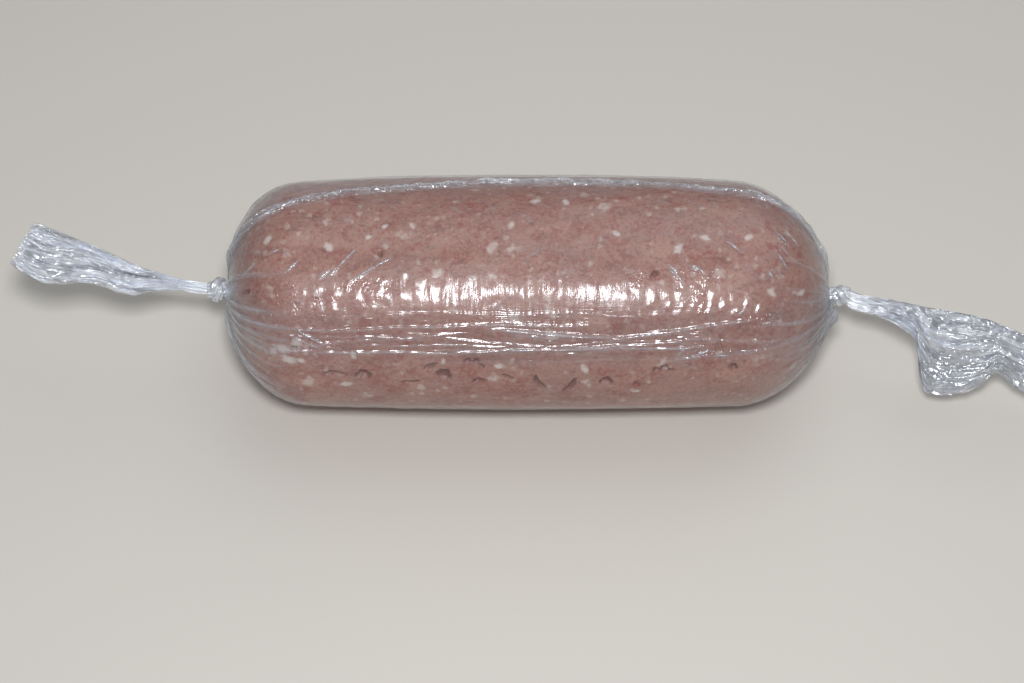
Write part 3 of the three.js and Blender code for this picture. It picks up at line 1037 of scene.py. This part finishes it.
class Shading:
    """Short calls for building one node tree."""

    def __init__(self, tree):
        self.tree = tree

    def add(self, kind, settings=None, **inputs):
        node = self.tree.nodes.new(kind)
        for name, value in (settings or {}).items():
            setattr(node, name, value)
        for name, value in inputs.items():
            self.feed(node.inputs[name.replace("_", " ")], value)
        return node

    def feed(self, socket, value):
        if isinstance(value, bpy.types.NodeSocket):
            self.tree.links.new(value, socket)
        else:
            socket.default_value = value

    def maths(self, operation, first, second=0.0, third=None, clamp=False):
        node = self.add("ShaderNodeMath", {"operation": operation, "use_clamp": clamp})
        self.feed(node.inputs[0], first)
        self.feed(node.inputs[1], second)
        if third is not None:
            self.feed(node.inputs[2], third)
        return node.outputs[0]

    def vector_maths(self, operation, first, second):
        node = self.add("ShaderNodeVectorMath", {"operation": operation})
        self.feed(node.inputs[0], first)
        self.feed(node.inputs["Scale" if operation == "SCALE" else 1], second)
        return node.outputs[0]

    def painted(self, name):
        """A value that the mesh carries at each vertex."""
        return self.add("ShaderNodeAttribute", {"attribute_name": name}).outputs["Fac"]

    def bump(self, height, strength, distance):
        node = self.add("ShaderNodeBump", Height=height, Strength=strength, Distance=distance)
        return node.outputs[0]

    def tint(self, mask, share, below, colour):
        """Lays a share of a colour over what is below, where the mask is."""
        return self.blend(self.maths("MULTIPLY", mask, share), below, colour)

    def blend(self, share, first, second):
        node = self.add("ShaderNodeMix", {"data_type": "RGBA"})
        self.feed(node.inputs[0], share)
        self.feed(node.inputs[6], first)
        self.feed(node.inputs[7], second)
        return node.outputs[2]

    def noise(self, vector, scale, detail=2.0, roughness=0.5, distortion=0.0):
        node = self.add("ShaderNodeTexNoise", Vector=vector, Scale=scale, Detail=detail,
                        Roughness=roughness, Distortion=distortion)
        return node.outputs["Fac"]

    def ramp(self, value, low, high):
        """0 below low and 1 above high, with a soft step between."""
        node = self.add("ShaderNodeMapRange", {"interpolation_type": "SMOOTHSTEP"})
        self.feed(node.inputs["Value"], value)
        self.feed(node.inputs["From Min"], low)
        self.feed(node.inputs["From Max"], high)
        return node.outputs["Result"]

    def stretch(self, vector, scale):
        return self.vector_maths("MULTIPLY", vector, scale)


def new_group(name, inputs, outputs):
    """A shader node group. inputs and outputs map each socket's name to its type and value."""
    tree = bpy.data.node_groups.new(name, "ShaderNodeTree")
    for label, (kind, value) in inputs.items():
        socket = tree.interface.new_socket(label, in_out="INPUT", socket_type=kind)
        if value is not None:
            socket.default_value = value
    for label, kind in outputs.items():
        tree.interface.new_socket(label, in_out="OUTPUT", socket_type=kind)
    shading = Shading(tree)
    start = tree.nodes.new("NodeGroupInput")
    end = tree.nodes.new("NodeGroupOutput")
    return tree, shading, start, end


FLOAT = "NodeSocketFloat"
VECTOR = "NodeSocketVector"


def scattered_bits_group():
    """Bits of one kind, such as fat or pepper: a share of the cells of a pattern holds one bit."""
    tree, s, start, end = new_group("scattered_bits", {
        "Vector": (VECTOR, None),
        "Cells": (FLOAT, 100.0),
        "Share": (FLOAT, 0.2),
        "Size": (FLOAT, 0.3),
        "Softness": (FLOAT, 0.1),
        "Raggedness": (FLOAT, 0.3),
    }, {"Mask": FLOAT})
    wobble = s.add("ShaderNodeTexNoise", Vector=start.outputs["Vector"], Detail=2.0)
    s.feed(wobble.inputs["Scale"], s.maths("MULTIPLY", start.outputs["Cells"], 2.2))
    centred = s.vector_maths("SUBTRACT", wobble.outputs["Color"], (0.5, 0.5, 0.5))
    ragged = s.maths("DIVIDE", start.outputs["Raggedness"], start.outputs["Cells"])
    push = s.vector_maths("SCALE", centred, ragged)
    moved = s.vector_maths("ADD", start.outputs["Vector"], push)
    cells = s.add("ShaderNodeTexVoronoi", Vector=moved)
    s.feed(cells.inputs["Scale"], start.outputs["Cells"])
    split = s.add("ShaderNodeSeparateColor", Color=cells.outputs["Color"])
    chosen = s.maths("LESS_THAN", split.outputs[0], start.outputs["Share"])
    varied = s.maths("MULTIPLY_ADD", split.outputs[1], 0.7, 0.5)
    own_size = s.maths("MULTIPLY", start.outputs["Size"], varied)
    gap = s.maths("SUBTRACT", own_size, cells.outputs["Distance"])
    soft = s.maths("DIVIDE", gap, start.outputs["Softness"], clamp=True)
    s.feed(end.inputs["Mask"], s.maths("MULTIPLY", soft, chosen))
    return tree


def film_crumple_group():
    """Fine wrinkles of thin film: lines across or along its length, and a crinkle in patches."""
    tree, s, start, end = new_group("film_crumple", {
        "Vector": (VECTOR, None),
        "Lengthwise": (FLOAT, 0.0),
        "Lines": (FLOAT, 1.0),
        "Fine": (FLOAT, 620.0),
        "Crinkle": (FLOAT, 0.6),
        "Grain": (FLOAT, 700.0),
    }, {"Height": FLOAT})
    flat = start.outputs["Vector"]
    round_lines = s.noise(s.stretch(flat, (1.0, 0.10, 1.0)), start.outputs["Fine"], 2.5, 0.6, 0.25)
    long_lines = s.noise(s.stretch(flat, (0.07, 1.0, 1.0)), start.outputs["Fine"], 2.5, 0.6, 0.25)
    mixed = s.add("ShaderNodeMix", {"data_type": "FLOAT"})
    s.feed(mixed.inputs[0], start.outputs["Lengthwise"])
    s.feed(mixed.inputs[2], round_lines)
    s.feed(mixed.inputs[3], long_lines)
    lines = s.maths("ABSOLUTE", s.maths("SUBTRACT", mixed.outputs[0], 0.5))
    lines = s.maths("MULTIPLY", lines, start.outputs["Lines"])
    crinkle = s.noise(s.stretch(flat, (1.0, 0.55, 1.0)), start.outputs["Grain"], 1.5, 0.6, 0.4)
    crinkle = s.maths("ABSOLUTE", s.maths("SUBTRACT", crinkle, 0.5))
    patches = s.ramp(s.noise(flat, 240.0, 2.0, 0.6), 0.38, 0.58)
    crinkle = s.maths("MULTIPLY", s.maths("MULTIPLY", crinkle, patches), start.outputs["Crinkle"])
    s.feed(end.inputs["Height"], s.maths("MULTIPLY", s.maths("ADD", lines, crinkle), -1.0))
    return tree


def new_material(name):
    material = bpy.data.materials.new(name)
    material.use_nodes = True
    tree = material.node_tree
    tree.nodes.clear()
    shading = Shading(tree)
    surface = shading.add("ShaderNodeBsdfPrincipled")
    out = shading.add("ShaderNodeOutputMaterial")
    tree.links.new(surface.outputs[0], out.inputs[0])
    return material, shading, surface


def use_group(shading, tree, **inputs):
    node = shading.tree.nodes.new("ShaderNodeGroup")
    node.node_tree = tree
    for name, value in inputs.items():
        shading.feed(node.inputs[name], value)
    return node.outputs[0]


LEAN_PINK = (0.335, 0.158, 0.129, 1)
LEAN_RED = (0.300, 0.086, 0.074, 1)
LEAN_PALE = (0.430, 0.248, 0.202, 1)
LEAN_BROWN = (0.180, 0.078, 0.064, 1)
LEAN_VEILED = (0.305, 0.190, 0.172, 1)
FAT_WHITE = (0.680, 0.610, 0.575, 1)
PEPPER = (0.045, 0.026, 0.022, 1)
# Painted shade inside the air pockets, a darker red than the meat around them.
POCKET_SHADE_RED = (0.160, 0.050, 0.041, 1)

# The mottling of the lean meat, in the order it is laid on: its colour and share, how its pattern is
# stretched, the pattern's scale, detail, roughness and distortion, and where it starts and is full.
MOTTLING = [
    (LEAN_PALE, 1.00, (0.6, 1, 1), (150, 3, 0.6, 0.5), (0.38, 0.64)),
    (LEAN_RED, 0.85, (1, 1, 1), (170, 2.5, 0.6, 0.7), (0.50, 0.66)),
    (LEAN_BROWN, 0.60, (0.6, 1, 1), (240, 2.5, 0.6, 0.5), (0.54, 0.70)),
    (LEAN_VEILED, 0.55, (0.6, 1, 1), (75, 3, 0.6, 0.6), (0.46, 0.64)),
    (LEAN_PALE, 0.42, (0.5, 1, 1), (640, 3, 0.7, 0.6), (0.44, 0.62)),
    (LEAN_RED, 0.62, (1, 1, 1), (900, 2.5, 0.75, 0.4), (0.51, 0.62)),
    (LEAN_PALE, 0.62, (1, 1, 1.1), (820, 2, 0.7, 0.3), (0.50, 0.62)),
]

MEAT_SURFACE = {
    "Roughness": 0.45,
    "Subsurface Weight": 0.25,
    "Subsurface Radius": (1.0, 0.35, 0.25),
    "Subsurface Scale": 1.5 * MM,
}

# Small bits in the meat, as the scattered_bits group takes them.
CRUMBS = {"Cells": 360.0, "Share": 0.30, "Size": 0.42, "Softness": 0.30, "Raggedness": 0.8}
SMALL_FAT = {"Cells": 165.0, "Share": 0.15, "Size": 0.38, "Softness": 0.22, "Raggedness": 0.9}
PEPPER_BITS = {"Cells": 90.0, "Share": 0.07, "Size": 0.045, "Softness": 0.015, "Raggedness": 0.2}


def meat_material(bits):
    material, s, surface = new_material("ground_meat")
    place = s.add("ShaderNodeTexCoord").outputs["Object"]
    colour = LEAN_PINK
    for layer, share, along, pattern, edges in MOTTLING:
        mask = s.ramp(s.noise(s.stretch(place, along), *pattern), *edges)
        colour = s.tint(mask, share, colour, layer)
    colour = s.tint(use_group(s, bits, Vector=place, **CRUMBS), 0.42, colour, FAT_WHITE)
    fat = use_group(s, bits, Vector=place, **SMALL_FAT)
    colour = s.tint(fat, 0.55, colour, FAT_WHITE)
    ragged = s.maths("SUBTRACT", s.painted("fat"), 0.9)
    large_fat = s.maths("MULTIPLY_ADD", s.noise(place, 750, 2.5, 0.65, 0.4), 1.1, ragged)
    colour = s.tint(s.ramp(large_fat, -0.05, 0.65), 0.86, colour, FAT_WHITE)
    # Paints shade into the air pockets, darkest under each pocket's upper lip.
    colour = s.tint(s.painted("pocket_shade"), 0.90, colour, POCKET_SHADE_RED)
    colour = s.blend(use_group(s, bits, Vector=place, **PEPPER_BITS), colour, PEPPER)
    s.feed(surface.inputs["Base Color"], colour)
    for name, value in MEAT_SURFACE.items():
        surface.inputs[name].default_value = value
    grain = s.noise(s.stretch(place, (0.6, 1, 1)), 700, 3, 0.6, 0.5)
    height = s.maths("MULTIPLY_ADD", fat, 0.25, grain)
    s.feed(surface.inputs["Normal"], s.bump(height, 0.35, 0.4 * MM))
    return material


MIRROR_TINT = (0.90, 0.93, 0.98, 1)
GLANCING_SHINE = 0.8  # the share of light the film mirrors when seen edge on
GLANCING_POWER = 5.5

# How each kind of film looks: the fineness of its lines, the strength and fineness of its crinkle,
# the depth of both, the share of light it mirrors face on, how milky its haze and the plain film are,
# the haze's colour, and its roughness.
CLEAR_LOOK = {
    "fine": 1250.0, "crinkle": 17.0, "grain": 680.0, "depth": 0.10 * MM,
    "shine": 0.046, "haze": 0.55, "least_haze": 0.008, "haze_tint": (0.54, 0.56, 0.60, 1),
    "roughness": 0.16,
}
FOLDED_LOOK = {**CLEAR_LOOK, "shine": 0.075, "haze_tint": (0.64, 0.66, 0.72, 1)}
GATHERED_LOOK = {
    "fine": 880.0, "crinkle": 2.6, "grain": 1300.0, "depth": 0.22 * MM,
    "shine": 0.40, "haze": 0.56, "least_haze": 0.03, "haze_tint": (0.80, 0.84, 0.92, 1),
    "roughness": 0.20,
}


def film_material(name, crumple, look):
    """Thin clear film: it mirrors by its Fresnel share, veils by its haze, and lets the rest through."""
    material, s, surface = new_material(name)
    flat = s.add("ShaderNodeUVMap").outputs[0]
    haze, lengthwise, lines, crinkle, presence = [s.painted(mark) for mark in FILM_MARKS]
    height = use_group(s, crumple, Vector=flat, Lengthwise=lengthwise, Lines=lines, Fine=look["fine"],
                       Crinkle=s.maths("MULTIPLY", crinkle, look["crinkle"]), Grain=look["grain"])
    bump = s.bump(height, 1.0, look["depth"])
    facing = s.add("ShaderNodeLayerWeight", Blend=0.5, Normal=bump)
    glancing = s.maths("POWER", facing.outputs["Facing"], GLANCING_POWER)
    mirror = s.maths("MULTIPLY_ADD", glancing, GLANCING_SHINE - look["shine"], look["shine"])
    shine = s.maths("MULTIPLY", mirror, presence)
    streaks = s.ramp(s.noise(s.stretch(flat, (0.12, 1.0, 1.0)), 850, 2, 0.6, 0.3), 0.30, 0.72)
    haze = s.maths("MULTIPLY", haze, s.maths("MULTIPLY_ADD", streaks, 1.1, 0.35))
    haze = s.maths("MULTIPLY", s.maths("MULTIPLY_ADD", haze, look["haze"], look["least_haze"]), presence)
    solid = s.maths("ADD", shine, haze, clamp=True)
    mirrored = s.maths("DIVIDE", shine, s.maths("MAXIMUM", solid, 0.0001), clamp=True)
    s.feed(surface.inputs["Alpha"], solid)
    s.feed(surface.inputs["Metallic"], mirrored)
    s.feed(surface.inputs["Base Color"], s.blend(mirrored, look["haze_tint"], MIRROR_TINT))
    surface.inputs["Roughness"].default_value = look["roughness"]
    s.feed(surface.inputs["Normal"], bump)
    return material


# ---------------------------------------------------------------- the whole sausage

bits = scattered_bits_group()
crumple = film_crumple_group()
MEAT = meat_material(bits)
CLEAR_FILM = film_material("clear_film", crumple, CLEAR_LOOK)
FOLDED_FILM = film_material("folded_film", crumple, FOLDED_LOOK)
GATHERED_FILM = film_material("gathered_film", crumple, GATHERED_LOOK)

make_meat(MEAT)
make_wrap(CLEAR_FILM)
make_back_fold(FOLDED_FILM)
make_front_pleats(FOLDED_FILM)
make_pulled_lines(FOLDED_FILM)
for side in (-1, 1):
    make_end_film(side, CLEAR_FILM)
    make_knot(side, GATHERED_FILM)
    make_tail(side, GATHERED_FILM)


# ---------------------------------------------------------------- floor, light and camera

FLOOR_SIZE = 6
FLOOR_GAP = 0.2 * MM  # keeps the floor's face clear of the roll's flat underside
FLOOR_COLOUR = (0.72, 0.69, 0.64, 1)

# Each area light: its place, the place it faces, its side and its power.
LIGHTS = {
    "key_light": ((-0.006, -0.3475, 0.716), (0, 0, 0.04), 0.10, 3.3),
    "top_light": ((0.5, 1.1, 1.7), (0, 0, 0.03), 2.0, 9),
}
SKY_COLOUR = (0.95, 0.97, 1.0, 1)
SKY_STRENGTH = 0.24

CAMERA_PLACE = (-5.7 * MM, -417.9 * MM, 672 * MM)
CAMERA_TILT = math.radians(32)
LENS_LENGTH = 79.4
SENSOR_WIDTH = 36
CLEAR_LAYERS = 48  # how many clear layers a ray of light may pass


def make_floor():
    deselect_all()
    bpy.ops.mesh.primitive_plane_add(size=FLOOR_SIZE, location=(0, 0, -FLOOR_GAP))
    floor = bpy.context.object
    floor.name = "floor"
    material, _, surface = new_material("pale_floor")
    surface.inputs["Base Color"].default_value = FLOOR_COLOUR
    surface.inputs["Roughness"].default_value = 0.6
    floor.data.materials.append(material)


def add_area_light(name, place, target, side, power):
    data = bpy.data.lights.new(name, "AREA")
    data.shape = "RECTANGLE"
    data.size, data.size_y, data.energy = side, side, power
    lamp = bpy.data.objects.new(name, data)
    lamp.location = place
    lamp.rotation_euler = (Vector(target) - Vector(place)).to_track_quat("-Z", "Y").to_euler()
    lamp.visible_camera = False
    bpy.context.scene.collection.objects.link(lamp)


def make_sky():
    world = bpy.data.worlds.new("studio")
    world.use_nodes = True
    background = world.node_tree.nodes["Background"]
    background.inputs["Color"].default_value = SKY_COLOUR
    background.inputs["Strength"].default_value = SKY_STRENGTH
    bpy.context.scene.world = world


def add_camera():
    data = bpy.data.cameras.new("camera")
    data.lens, data.sensor_width = LENS_LENGTH, SENSOR_WIDTH
    camera = bpy.data.objects.new("camera", data)
    camera.location = CAMERA_PLACE
    camera.rotation_euler = (CAMERA_TILT, 0, 0)
    bpy.context.scene.collection.objects.link(camera)
    bpy.context.scene.camera = camera


make_floor()
for light_name, light in LIGHTS.items():
    add_area_light(light_name, *light)
make_sky()
add_camera()
bpy.context.scene.view_settings.view_transform = "Standard"
bpy.context.scene.cycles.transparent_max_bounces = CLEAR_LAYERS
